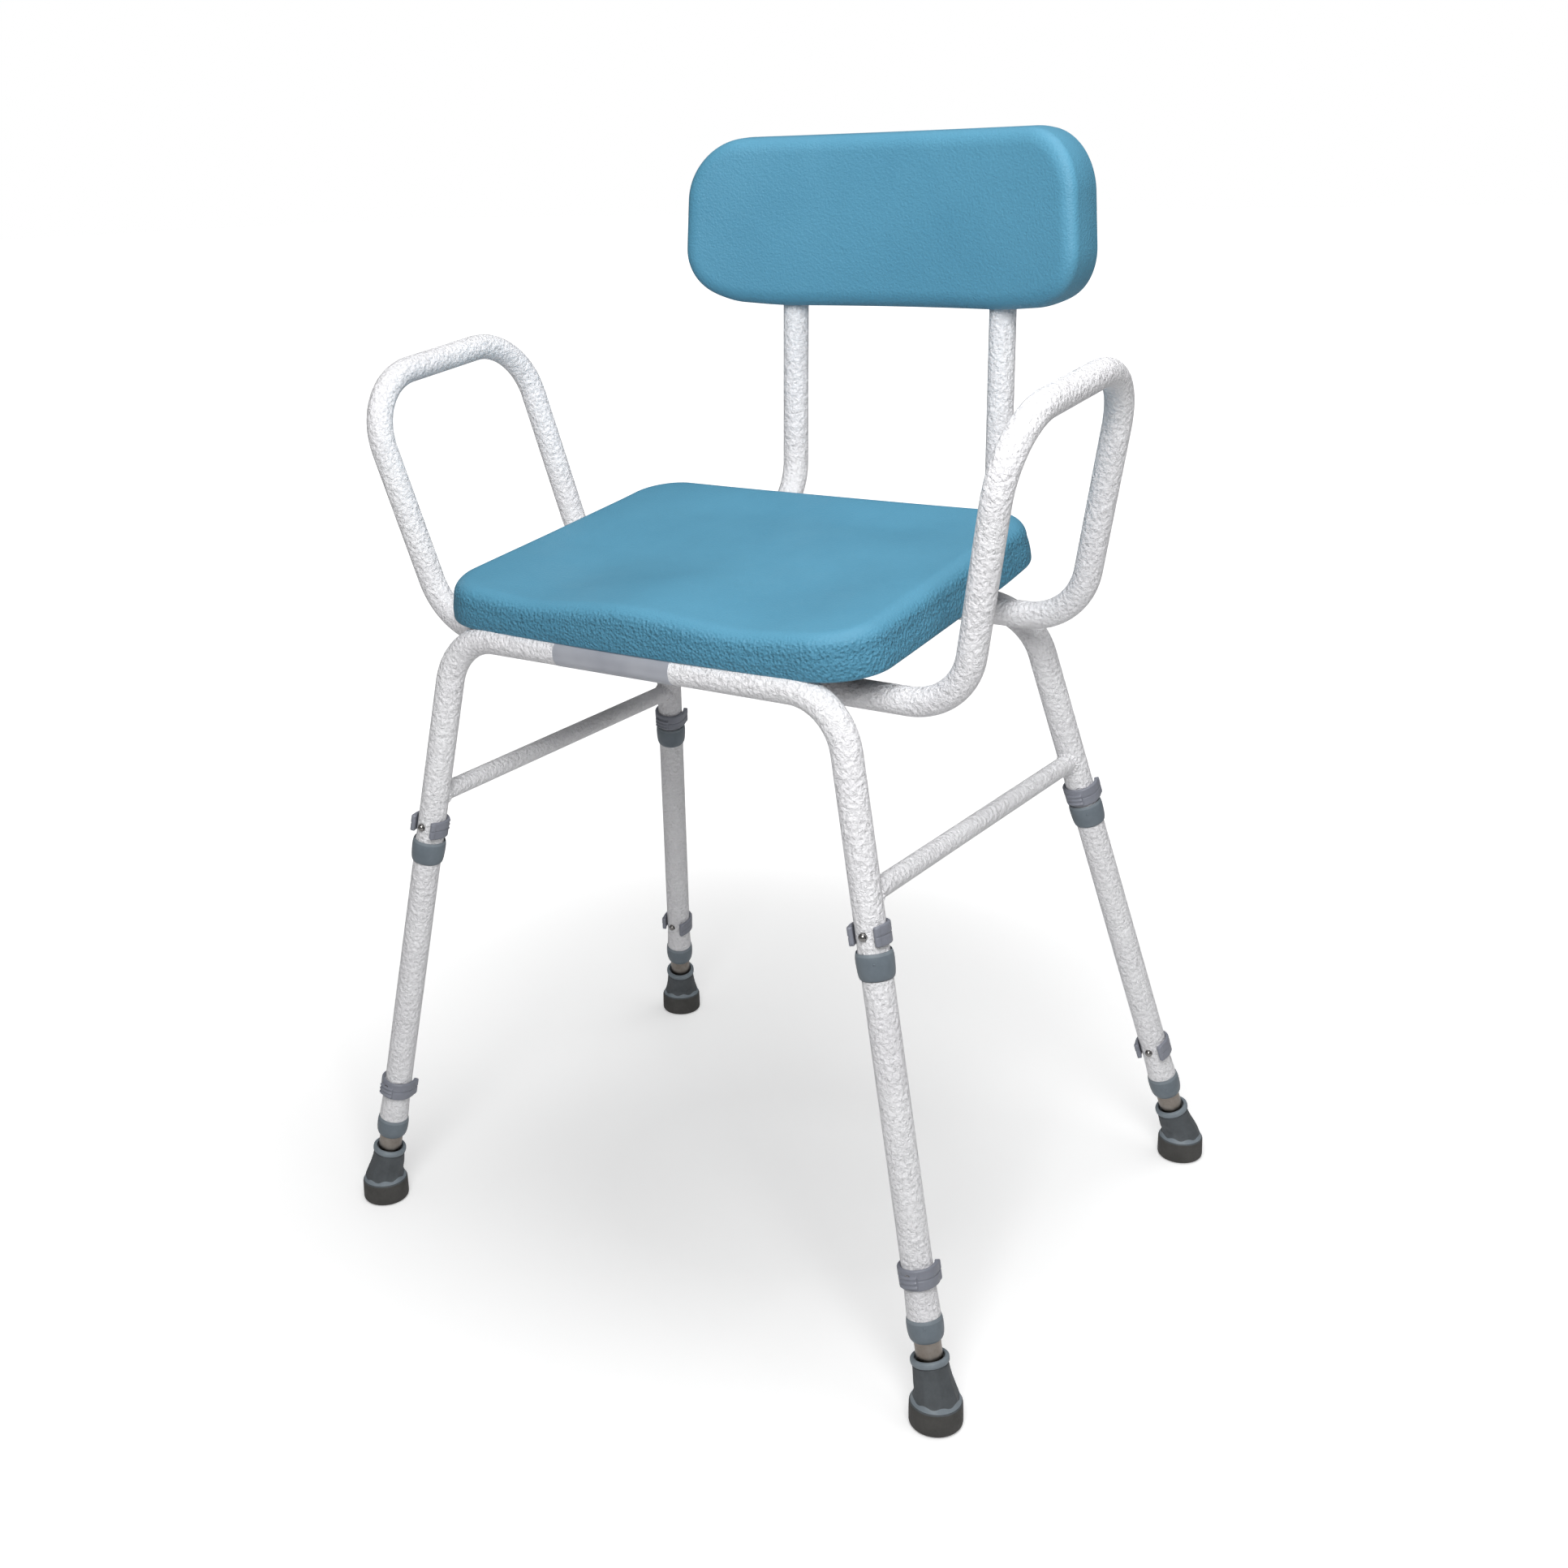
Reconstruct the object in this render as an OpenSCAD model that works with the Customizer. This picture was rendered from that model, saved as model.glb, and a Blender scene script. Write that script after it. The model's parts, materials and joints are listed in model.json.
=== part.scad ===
// Shower stool with back and armrests: two bent leg frames, telescopic legs, padded seat and backrest.
// Millimetres, +Z up, -Y is the front. Origin on the floor, at the middle of the four feet.

/* [Stance] */
// Half spacing of the front feet across the stool
front_foot_x = 268.1; // [262:0.1:274]
// Half spacing of the rear feet across the stool
rear_foot_x = 272; // [266:0.1:276]
// Half spacing of the feet front to rear
foot_y = 216; // [208:1:224]
// Sideways splay of the front legs in their own plane, degrees
front_splay = 10.9; // [10.3:0.1:11.4]
// Sideways splay of the rear legs in their own plane, degrees
rear_splay = 10.4; // [10:0.1:10.8]
// Backward rake of the front leg frame, degrees
front_rake = 3.9; // [3.2:0.1:4.6]
// Forward rake of the rear leg frame, degrees
rear_rake = 14.25; // [13.8:0.05:14.7]
// Height of the front cross bar's axis
front_bar_z = 502.7; // [500:0.1:506]
// Height of the rear cross bar's axis
rear_bar_z = 507; // [504:0.1:509]

/* [Tubes] */
// Outside diameter of the leg frames, middle legs and back tubes
tube_od = 22.2; // [21.8:0.1:22.4]
// Outside diameter of the foot tubes and spigots
inner_od = 19.05; // [19:0.01:19.1]
// Wall of the foot tubes and spigots
inner_wall = 1.5; // [1.2:0.1:1.8]
// Outside diameter of the armrest tubes
arm_od = 21; // [20.6:0.1:21.4]
// Wall of the armrest tubes
arm_wall = 1.5; // [1.2:0.1:1.8]
// Outside diameter of the side rails
rail_od = 15; // [14:0.5:16]
// Centre line bend radius of the leg frames and back tubes
bend_r = 47.5; // [44:0.5:50]
// Centre line bend radius of the armrests
arm_bend_r = 53; // [50:1:56]

/* [Legs] */
// Distance along a front leg from the floor to the upper clip pin
front_upper_pin = 351; // [346:1:356]
// Distance along a rear leg from the floor to the upper clip pin
rear_upper_pin = 367; // [364:1:370]
// Distance along a front leg from the floor to the lower clip pin
front_lower_pin = 111.5; // [110:0.5:114]
// Distance along a rear leg from the floor to the lower clip pin
lower_pin = 115; // [113:1:118]
// Distance between the adjusting holes of the foot tubes
foot_pitch = 25; // [24:0.5:25]
// Distance between the adjusting holes of the spigots
spigot_pitch = 12.5; // [12:0.5:12.5]
// Diameter of the clip pins
pin_d = 6; // [5.6:0.1:6.2]
// Height of a clip along the leg
clip_h = 14.5; // [13.5:0.5:16]
// Thickness of a clip's band
clip_band = 2.6; // [2.2:0.1:3]

/* [Feet] */
// Radius of the ferrule's base
base_r = 19; // [18:0.5:20]
// Height of the ferrule's base
base_h = 18.6; // [17:0.1:19]
// Distance along the leg from the floor to the ferrule's lip
lip_t = 51; // [49:1:53]

/* [Armrests] */
// Half spacing of the armrests' lower corners
arm_low_x = 237; // [234:1:240]
// Half spacing of the armrests' top bars
arm_top_x = 283.5; // [280:0.5:285]
// Distance of the front lower corner behind the front bar, along the seat
arm_low_front = 54.6; // [52:0.1:57]
// Distance of the rear lower corner behind the front bar, along the seat
arm_low_rear = 236.2; // [233:0.1:238]
// Distance of the front top corner behind the front bar, along the seat
arm_top_front = 47.3; // [45:0.1:50]
// Distance of the rear top corner behind the front bar, along the seat
arm_top_rear = 233.2; // [230:0.1:236]
// Height of the top bars above the front bar's axis, square to the seat
arm_height = 180; // [175:1:185]

/* [Seat] */
// Upward tilt of the seat to the rear, degrees
seat_tilt = 7.3; // [7:0.1:7.6]
// Width of the seat pad
seat_w = 380; // [376:1:386]
// Depth of the seat pad along the seat
seat_d = 296; // [292:1:300]
// Front edge of the pad ahead of the front bar's axis
seat_overhang = 7; // [5:0.5:9]
// Thickness of the pad at its front edge
pad_t = 27; // [25:0.5:29]
// How much more the top of the pad rises than its underside, degrees
pad_wedge = 0.9; // [0.4:0.05:1.3]
// Plan corner radius of the seat pad
seat_corner = 43; // [38:1:48]
// Thickness of the board under the pad
board_t = 3; // [2.5:0.1:3.5]

/* [Back] */
// Half spacing of the back tubes
back_x = 100.8; // [97:0.1:104]
// Corner of the back tubes behind the front bar, along the seat
back_corner = 373.2; // [370:0.1:376]
// Backward lean of the uprights, degrees
back_lean = 1.78; // [1.4:0.01:2.1]
// Height of the middle of the backrest pad
backrest_z = 799.9; // [797:0.1:803]
// Width of the backrest pad
backrest_w = 372; // [368:1:376]
// Height of the backrest pad
backrest_h = 141; // [138:1:145]
// Thickness of the backrest pad
backrest_t = 46; // [45.5:0.5:48]
// Forward curve of the backrest's ends
backrest_bow = 36; // [35.5:0.5:38]
// Corner radius of the backrest pad
backrest_corner = 48; // [44:1:52]

/* [Hidden] */
$fn = 96;

fit = 0.075;               // running clearance of a tube inside a tube, on the radius
seat_fit = 0.05;           // clearance of a pushed-on collar or plug, on the radius
tube_r = tube_od / 2;
inner_r = inner_od / 2;
bore_r = inner_r + fit;    // bore of the frames' legs and of the middle legs
arm_r = arm_od / 2;
arm_in = arm_r - arm_wall;
rail_r = rail_od / 2;
swage_up = 12.3;           // radius of the widened end of a frame's leg
swage_low = 11.9;          // radius of the widened end of a middle leg
collar_h = 19.5;
collar_wall = 1.05;
lip_h = 3.4;               // closed lower lip of a collar
axis_cross_z = 15.3;       // height at which a leg's axis meets the middle of its ferrule's base
foot_bottom = 12;          // start of the foot tube along the leg
foot_top = lower_pin + 6 * foot_pitch + 13;
pin_hole_r = pin_d / 2 + 0.2;
clip_gap = 0.3;            // clearance of a clip's band round its tube
clip_in = tube_r + clip_gap;
clip_out = clip_in + clip_band;
bolt_r = 3;
bolt_hole_r = 3.2;

lap_length = 0.4;                 // how far a straight run laps a bend
thin = 0.02;               // a bend's wall is this much thinner, inside and out

function unit(v) = v / norm(v);
function col3(x, y, z, o) = [
  [x[0], y[0], z[0], o[0]],
  [x[1], y[1], z[1], o[1]],
  [x[2], y[2], z[2], o[2]],
  [0, 0, 0, 1]
];
function help(d) = abs(d[2]) < 0.9 ? [0, 0, 1] : [1, 0, 0];
function side_x(d) = unit(cross(help(d), d));
function aim(o, d) = col3(side_x(d), cross(d, side_x(d)), d, o);

// ---- a round bar along a path of straight runs and arcs ----
function din(p, i) = unit(p[i] - p[i - 1]);
function turn(p, i) = acos(din(p, i) * din(p, i + 1));
function tang(p, rr, i) = (i <= 0 || i >= len(p) - 1) ? 0 : rr * tan(turn(p, i) / 2);
function arc_n(p, i) = unit(cross(din(p, i), din(p, i + 1)));
function arc_o(p, rr, i) = p[i] - din(p, i) * tang(p, rr, i) + cross(arc_n(p, i), din(p, i)) * rr;
function run_a(p, rr, i) = p[i - 1] + din(p, i) * tang(p, rr, i - 1);
function run_b(p, rr, i) = p[i] - din(p, i) * tang(p, rr, i);

module rod(a, b, r) {
  multmatrix(aim(a, unit(b - a)))
    cylinder(h = norm(b - a), r = r);
}

module pipe(a, b, r, ri) {
  multmatrix(aim(a, unit(b - a)))
    difference() {
      cylinder(h = norm(b - a), r = r);
      translate([0, 0, -1])
        cylinder(h = norm(b - a) + 2, r = ri);
    }
}

module elbow(p, rr, i, r, ri) {
  multmatrix(col3(-cross(arc_n(p, i), din(p, i)), din(p, i), arc_n(p, i), arc_o(p, rr, i)))
    rotate_extrude(angle = turn(p, i))
      translate([rr, 0])
        difference() {
          circle(r = r - thin);
          circle(r = ri + thin);
        }
}

// first and last are the straight runs drawn here; the others are drawn by the caller
module bent_pipe(p, rr, r, ri, first, last) {
  for (i = [first : last])
    pipe(run_a(p, rr, i) - din(p, i) * (i > 1 ? lap_length : 0), run_b(p, rr, i) + din(p, i) * (i < len(p) - 1 ? lap_length : 0), r, ri);
  for (i = [1 : len(p) - 2])
    elbow(p, rr, i, r, ri);
}

// ---- legs: i = 0 front left, 1 front right, 2 rear left, 3 rear right ----
function is_front(i) = i < 2;
function side(i) = (i % 2 == 0) ? -1 : 1;
function splay(i) = is_front(i) ? front_splay : rear_splay;
function rake(i) = is_front(i) ? front_rake : -rear_rake;
function leg_dir(i) = [
  -side(i) * sin(splay(i)),
  sin(rake(i)) * cos(splay(i)),
  cos(rake(i)) * cos(splay(i))
];
function base_mid(i) = [side(i) * (is_front(i) ? front_foot_x : rear_foot_x), is_front(i) ? -foot_y : foot_y, axis_cross_z];
function leg_foot(i) = base_mid(i) - leg_dir(i) * (axis_cross_z / leg_dir(i)[2]);
function leg_at(i, t) = leg_foot(i) + leg_dir(i) * t;
function bar_z(i) = is_front(i) ? front_bar_z : rear_bar_z;
function corner_t(i) = (bar_z(i) - leg_foot(i)[2]) / leg_dir(i)[2];
function lower_pin_t(i) = is_front(i) ? front_lower_pin : lower_pin;
function upper_pin_t(i) = is_front(i) ? front_upper_pin : rear_upper_pin;
function collar_bottom(i) = upper_pin_t(i) - (is_front(i) ? 31.3 : 28.3);
function frame_end(i) = collar_bottom(i) + lip_h + 0.4;
lower_collar_t = lower_pin - 49;
mid_end = lower_collar_t + lip_h + 0.4;
function mid_top(i) = collar_bottom(i) - 0.4;
function spigot_foot(i) = mid_top(i) - 26;
function spigot_top(i) = upper_pin_t(i) + 6 * spigot_pitch + 10;

module on_leg(i) {
  translate(leg_foot(i))
    rotate([-rake(i), 0, 0])
      rotate([0, -side(i) * splay(i), 0])
        children();
}

// seat frame: s runs rearwards along the seat, n is square to it, from the front bar's axis
bar_y = leg_at(0, corner_t(0))[1];
function sf(x, s, n) = [
  x,
  bar_y + s * cos(seat_tilt) - n * sin(seat_tilt),
  front_bar_z + s * sin(seat_tilt) + n * cos(seat_tilt)
];

module on_seat() {
  translate([0, bar_y, front_bar_z])
    rotate([seat_tilt, 0, 0])
      children();
}

function frame_path(a, b) = [
  leg_at(a, frame_end(a)),
  leg_at(a, corner_t(a)),
  leg_at(b, corner_t(b)),
  leg_at(b, frame_end(b))
];

// straight leg of a frame, widened at its lower end
module frame_leg(i, t1) {
  on_leg(i)
    rotate_extrude()
      polygon([
        [bore_r, frame_end(i)], [swage_up, frame_end(i)], [swage_up, frame_end(i) + 10],
        [tube_r, frame_end(i) + 17], [tube_r, t1 + lap_length], [bore_r, t1 + lap_length]
      ]);
}

module cross_hole(i, t, r) {
  on_leg(i)
    translate([0, 0, t])
      rotate([90, 0, 0])
        cylinder(h = 40, r = r, center = true);
}

module leg_frame(a, b) {
  difference() {
    union() {
      bent_pipe(frame_path(a, b), bend_r, tube_r, bore_r, 2, 2);
      frame_leg(a, corner_t(a) - tang(frame_path(a, b), bend_r, 1));
      frame_leg(b, corner_t(b) - tang(frame_path(a, b), bend_r, 2));
    }
    cross_hole(a, upper_pin_t(a), pin_hole_r);
    cross_hole(b, upper_pin_t(b), pin_hole_r);
  }
}

rear_bar_s = (leg_at(2, corner_t(2))[1] - bar_y) * cos(seat_tilt) + (rear_bar_z - front_bar_z) * sin(seat_tilt);
rear_bar_n = -(leg_at(2, corner_t(2))[1] - bar_y) * sin(seat_tilt) + (rear_bar_z - front_bar_z) * cos(seat_tilt);
cross_n = -(tube_r + arm_r);
bolt_top = tube_r + board_t + 10;

module front_leg_frame() {
  color([0.93, 0.93, 0.94])
    leg_frame(0, 1);
}

module rear_leg_frame() {
  color([0.93, 0.93, 0.94])
    difference() {
      leg_frame(2, 3);
      for (sx = [-1, 1])
        on_seat()
          translate([sx * back_x, rear_bar_s, rear_bar_n - tube_od])
            cylinder(h = 2 * tube_od, r = bolt_hole_r);
    }
}

function rail_front(i) = leg_at(i, front_upper_pin + 25.2);
function rail_rear(i) = leg_at(i + 2, rear_upper_pin + 28.9);

module side_rail(i) {
  color([0.93, 0.93, 0.94])
    difference() {
      rod(rail_front(i), rail_rear(i), rail_r);
      rod(rail_front(i), rail_rear(i), rail_r - 1.5);
      rod(leg_at(i, 300), leg_at(i, 460), tube_r);
      rod(leg_at(i + 2, 300), leg_at(i + 2, 460), tube_r);
    }
}

arm_end_x = 72;
function arm_path(sx) = [
  sf(sx * arm_end_x, arm_low_front, cross_n),
  sf(sx * arm_low_x, arm_low_front, cross_n),
  sf(sx * arm_top_x, arm_top_front, arm_height),
  sf(sx * arm_top_x, arm_top_rear, arm_height),
  sf(sx * arm_low_x, arm_low_rear, cross_n),
  sf(sx * arm_end_x, arm_low_rear, cross_n)
];

module frame_bolt_holes() {
  for (sx = [-1, 1])
    for (s = [arm_low_front, arm_low_rear])
      on_seat()
        translate([sx * back_x, s, cross_n - 30])
          cylinder(h = 30 - cross_n + bolt_top + 0.5, r = bolt_hole_r);
}

module armrest(sx) {
  color([0.93, 0.93, 0.94])
    difference() {
      bent_pipe(arm_path(sx), arm_bend_r, arm_r, arm_in, 1, 5);
      frame_bolt_holes();
    }
}

module arm_end_plugs() {
  color([0.12, 0.12, 0.13])
    for (sx = [-1, 1])
      for (s = [arm_low_front, arm_low_rear])
        on_seat()
          translate([sx * (arm_end_x - 2), s, cross_n])
            rotate([0, sx * 90, 0])
              union() {
                cylinder(h = 2, r = arm_r - 0.3);
                cylinder(h = 12, r = arm_in - seat_fit);
              }
}

upright_dir = [0, sin(back_lean), cos(back_lean)];
upright_top_z = backrest_z + 50;
function upright_at(sx, z) = sf(sx * back_x, back_corner, 0) + upright_dir * ((z - sf(0, back_corner, 0)[2]) / upright_dir[2]);
function back_path(sx) = [
  sf(sx * back_x, 0, 0),
  sf(sx * back_x, back_corner, 0),
  upright_at(sx, upright_top_z)
];

module back_tube(sx) {
  color([0.93, 0.93, 0.94])
    difference() {
      bent_pipe(back_path(sx), bend_r, tube_r, tube_r - 1.5, 1, 2);
      rod(sf(-150, 0, 0), sf(150, 0, 0), tube_r);
      frame_bolt_holes();
      on_seat()
        translate([sx * back_x, rear_bar_s, rear_bar_n - 20])
          cylinder(h = 60, r = bolt_hole_r);
      for (dz = [-30, 30])
        translate(upright_at(sx, backrest_z + dz))
          rotate([-90, 0, 0])
            cylinder(h = 20, r = 2.2);
    }
}

module rear_bar_spacers() {
  color([0.12, 0.12, 0.13])
    difference() {
      for (sx = [-1, 1])
        on_seat()
          translate([sx * back_x - 9, rear_bar_s - 9, rear_bar_n + 2])
            cube([18, 18, -rear_bar_n - 4]);
      for (sx = [-1, 1])
        rod(sf(sx * back_x, 100, 0), sf(sx * back_x, 330, 0), tube_r);
      rod(sf(-150, rear_bar_s, rear_bar_n), sf(150, rear_bar_s, rear_bar_n), tube_r);
      for (sx = [-1, 1])
        on_seat()
          translate([sx * back_x, rear_bar_s, rear_bar_n - 20])
            cylinder(h = 60, r = bolt_hole_r);
    }
}

// bolts through armrest, back tube and board into the pad
module bolt(n0, n1) {
  translate([0, 0, n0 - 4])
    cylinder(h = 4, r = 5.5);
  translate([0, 0, n0 - 0.5])
    cylinder(h = n1 - n0 + 0.5, r = bolt_r);
}

module frame_bolts() {
  color([0.6, 0.6, 0.62])
    for (sx = [-1, 1])
      for (s = [arm_low_front, arm_low_rear])
        on_seat()
          translate([sx * back_x, s, 0])
            bolt(cross_n - arm_r, bolt_top);
}

module spacer_bolts() {
  color([0.6, 0.6, 0.62])
    for (sx = [-1, 1])
      on_seat()
        translate([sx * back_x, rear_bar_s, 0])
          bolt(rear_bar_n - tube_r, tube_r - 3.5);
}

// ---- seat ----
pad_front = -seat_overhang;
pad_rear = seat_d - seat_overhang;

module rounded_plate(w, s0, s1, rc, h) {
  linear_extrude(height = h)
    union() {
      translate([-w / 2 + rc, s0])
        square([w - 2 * rc, s1 - s0]);
      translate([-w / 2, s0 + rc])
        square([w, s1 - s0 - 2 * rc]);
      for (x = [-w / 2 + rc, w / 2 - rc])
        for (y = [s0 + rc, s1 - rc])
          translate([x, y])
            circle(r = rc);
    }
}

module seat_board() {
  color([0.07, 0.07, 0.08])
    difference() {
      on_seat()
        translate([0, 0, tube_r])
          rounded_plate(seat_w - 5, pad_front + 2.5, pad_rear - 2.5, seat_corner - 2.5, board_t);
      frame_bolt_holes();
    }
}

module seat_pad() {
  color([0.36, 0.6, 0.72])
    difference() {
      on_seat()
        translate([0, 0, tube_r + board_t])
          difference() {
            rounded_plate(seat_w, pad_front, pad_rear, seat_corner, pad_t + 8);
            translate([-seat_w, pad_front, pad_t])
              rotate([pad_wedge, 0, 0])
                translate([0, -20, 0])
                  cube([2 * seat_w, seat_d + 60, 40]);
          }
      frame_bolt_holes();
    }
}

// ---- backrest ----
edge_front_y = upright_at(0, backrest_z)[1] - 53.7;
bow_r = (backrest_w * backrest_w / 4 + backrest_bow * backrest_bow) / (2 * backrest_bow);
bow_y = edge_front_y + backrest_bow - bow_r;
insert_y = upright_at(0, backrest_z + 42)[1] + tube_r + 0.6;

module backrest_insert() {
  color([0.12, 0.12, 0.13])
    difference() {
      translate([-111, insert_y, backrest_z - 42])
        cube([222, 2.6, 84]);
      for (sx = [-1, 1])
        for (dz = [-30, 30])
          translate([sx * back_x, insert_y - 1, backrest_z + dz])
            rotate([-90, 0, 0])
              cylinder(h = 6, r = 2.2);
    }
}

module backrest_screws() {
  color([0.6, 0.6, 0.62])
    for (sx = [-1, 1])
      for (dz = [-30, 30])
        translate([sx * back_x, insert_y - 7, backrest_z + dz])
          rotate([-90, 0, 0])
            union() {
              cylinder(h = 8, r = 2);
              translate([0, 0, 9.6])
                cylinder(h = 1.4, r = 3.6);
              cylinder(h = 10, r = 2);
            }
}

module backrest_pad() {
  color([0.36, 0.6, 0.72])
    difference() {
      intersection() {
        translate([0, bow_y, backrest_z - 100])
          difference() {
            cylinder(h = 200, r = bow_r + backrest_t, $fn = 360);
            translate([0, 0, -1])
              cylinder(h = 202, r = bow_r, $fn = 360);
          }
        translate([0, edge_front_y + 100, backrest_z])
          rotate([90, 0, 0])
            rounded_plate(backrest_w, -backrest_h / 2, backrest_h / 2, backrest_corner, 140);
      }
      for (sx = [-1, 1])
        rod(upright_at(sx, backrest_z - 100), upright_at(sx, upright_top_z + 0.5), tube_r + 0.3);
      translate([-111.2, insert_y - 0.2, backrest_z - 42.2])
        cube([222.4, 3, 84.4]);
      for (sx = [-1, 1])
        for (dz = [-30, 30])
          translate([sx * back_x, insert_y - 8, backrest_z + dz])
            rotate([-90, 0, 0])
              cylinder(h = 12.2, r = 3.8);
    }
}

// ---- blank label round the front of the front bar ----
label_x0 = -67;
label_x1 = 39;

module bar_label() {
  color([0.78, 0.79, 0.82])
    translate([label_x0, bar_y, front_bar_z])
      rotate([0, 90, 0])
        rotate_extrude(angle = 120, start = 215)
          translate([tube_r, 0])
            square([0.25, label_x1 - label_x0]);
}

// ---- telescopic legs ----
module mid_leg(i) {
  color([0.93, 0.93, 0.94])
    difference() {
      on_leg(i)
        difference() {
          rotate_extrude()
            polygon([
              [bore_r, mid_end], [swage_low, mid_end], [swage_low, lower_pin - 31],
              [tube_r, lower_pin - 11], [tube_r, mid_top(i)], [bore_r, mid_top(i)]
            ]);
        }
      cross_hole(i, lower_pin_t(i), pin_hole_r);
    }
}

module tube_with_holes(i, t0, t1, first, pitch) {
  difference() {
    on_leg(i)
      translate([0, 0, t0])
        difference() {
          cylinder(h = t1 - t0, r = inner_r);
          translate([0, 0, -1])
            cylinder(h = t1 - t0 + 2, r = inner_r - inner_wall);
        }
    for (k = [0 : 6])
      cross_hole(i, first + k * pitch, pin_hole_r);
  }
}

module spigot(i) {
  color([0.62, 0.6, 0.58])
    tube_with_holes(i, spigot_foot(i), spigot_top(i), upper_pin_t(i), spigot_pitch);
}

module foot_tube(i) {
  color([0.62, 0.6, 0.58])
    tube_with_holes(i, foot_bottom, foot_top, lower_pin_t(i), foot_pitch);
}

// pushed onto the widened end of a tube; its lower lip guides the inner tube
module collar(i, t, rs) {
  color([0.36, 0.38, 0.4])
    on_leg(i)
      translate([0, 0, t])
        rotate_extrude()
          polygon([
            [inner_r + 0.3, 0], [rs + collar_wall - 1.6, 0], [rs + collar_wall - 0.8, 1],
            [rs + collar_wall, collar_h - 3], [rs + collar_wall + 0.3, collar_h - 3],
            [rs + collar_wall + 0.3, collar_h], [rs + seat_fit, collar_h], [rs + seat_fit, lip_h],
            [inner_r + 0.3, lip_h]
          ]);
}

module upper_collar(i) {
  collar(i, collar_bottom(i), swage_up);
}

module lower_collar(i) {
  collar(i, lower_collar_t, swage_low);
}

// ---- spring clips: the tip faces -y before turning ----
module on_clip(i, t, turned) {
  on_leg(i)
    translate([0, 0, t])
      rotate([0, 0, turned ? 180 : 0])
        children();
}

arm_reach = 10.5;

module clip_plan() {
  difference() {
    union() {
      circle(r = clip_out);
      translate([-clip_out, -arm_reach])
        square([2 * clip_out, arm_reach]);
      translate([-5.5, 8])
        square([11, clip_out - 8 + 2.4]);
      for (sx = [-1, 1])
        translate([sx * (clip_in + clip_band / 2 + 0.2), -arm_reach])
          circle(r = clip_band / 2 + 0.2);
    }
    circle(r = clip_in);
    translate([-clip_in, -clip_out - 6])
      square([2 * clip_in, clip_out + 6]);
  }
}

module clip_body(i, t, turned) {
  color([0.5, 0.51, 0.55])
    on_clip(i, t, turned)
      difference() {
        translate([0, 0, -clip_h / 2])
          linear_extrude(height = clip_h)
            clip_plan();
        rotate([90, 0, 0])
          translate([0, 0, -clip_out - 0.4])
            cylinder(h = 3 * clip_out, r = pin_d / 2);
      }
}

module clip_pin(i, t, turned) {
  color([0.7, 0.7, 0.72])
    on_clip(i, t, turned)
      rotate([90, 0, 0])
        union() {
          translate([0, 0, -clip_out - 0.4])
            cylinder(h = clip_out + tube_r + 0.8, r = pin_d / 2);
          translate([0, 0, tube_r + 0.4])
            sphere(r = pin_d / 2);
        }
}

module upper_clip(i) {
  clip_body(i, upper_pin_t(i), !is_front(i));
}

module upper_pin(i) {
  clip_pin(i, upper_pin_t(i), !is_front(i));
}

module lower_clip(i) {
  clip_body(i, lower_pin_t(i), is_front(i));
}

module lower_pin_part(i) {
  clip_pin(i, lower_pin_t(i), is_front(i));
}

// ---- rubber ferrule: level base, socket along the leg ----
neck_r = inner_r + 2.8;

module ferrule(i) {
  color([0.3, 0.32, 0.33])
    difference() {
      union() {
        translate([base_mid(i)[0], base_mid(i)[1], 0]) {
          cylinder(h = 3, r1 = base_r - 2.6, r2 = base_r);
          translate([0, 0, 3])
            cylinder(h = base_h - 3, r = base_r);
          translate([0, 0, base_h])
            cylinder(h = 5, r1 = base_r, r2 = base_r - 4.5);
        }
        on_leg(i) {
          translate([0, 0, 18])
            cylinder(h = 20, r1 = 16, r2 = neck_r);
          translate([0, 0, 2 * base_h - 1])
            cylinder(h = lip_t - 2 * base_h, r = neck_r);
          translate([0, 0, lip_t - 4.5])
            cylinder(h = 4.5, r = 13.2);
        }
      }
      on_leg(i)
        translate([0, 0, foot_bottom])
          cylinder(h = lip_t + 9, r = inner_r + seat_fit);
    }
}

front_leg_frame();
rear_leg_frame();
side_rail(0);  // side_rail_left
side_rail(1);  // side_rail_right
armrest(-1);  // armrest_left
armrest(1);  // armrest_right
back_tube(-1);  // back_tube_left
back_tube(1);  // back_tube_right
rear_bar_spacers();
arm_end_plugs();
frame_bolts();
spacer_bolts();
seat_board();
seat_pad();
backrest_pad();
backrest_insert();
backrest_screws();
bar_label();
mid_leg(0);  // mid_leg_fl
mid_leg(1);  // mid_leg_fr
mid_leg(2);  // mid_leg_rl
mid_leg(3);  // mid_leg_rr
spigot(0);  // spigot_fl
spigot(1);  // spigot_fr
spigot(2);  // spigot_rl
spigot(3);  // spigot_rr
foot_tube(0);  // foot_tube_fl
foot_tube(1);  // foot_tube_fr
foot_tube(2);  // foot_tube_rl
foot_tube(3);  // foot_tube_rr
upper_collar(0);  // upper_collar_fl
upper_collar(1);  // upper_collar_fr
upper_collar(2);  // upper_collar_rl
upper_collar(3);  // upper_collar_rr
lower_collar(0);  // lower_collar_fl
lower_collar(1);  // lower_collar_fr
lower_collar(2);  // lower_collar_rl
lower_collar(3);  // lower_collar_rr
upper_clip(0);  // upper_clip_fl
upper_clip(1);  // upper_clip_fr
upper_clip(2);  // upper_clip_rl
upper_clip(3);  // upper_clip_rr
lower_clip(0);  // lower_clip_fl
lower_clip(1);  // lower_clip_fr
lower_clip(2);  // lower_clip_rl
lower_clip(3);  // lower_clip_rr
upper_pin(0);  // upper_pin_fl
upper_pin(1);  // upper_pin_fr
upper_pin(2);  // upper_pin_rl
upper_pin(3);  // upper_pin_rr
lower_pin_part(0);  // lower_pin_fl
lower_pin_part(1);  // lower_pin_fr
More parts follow.
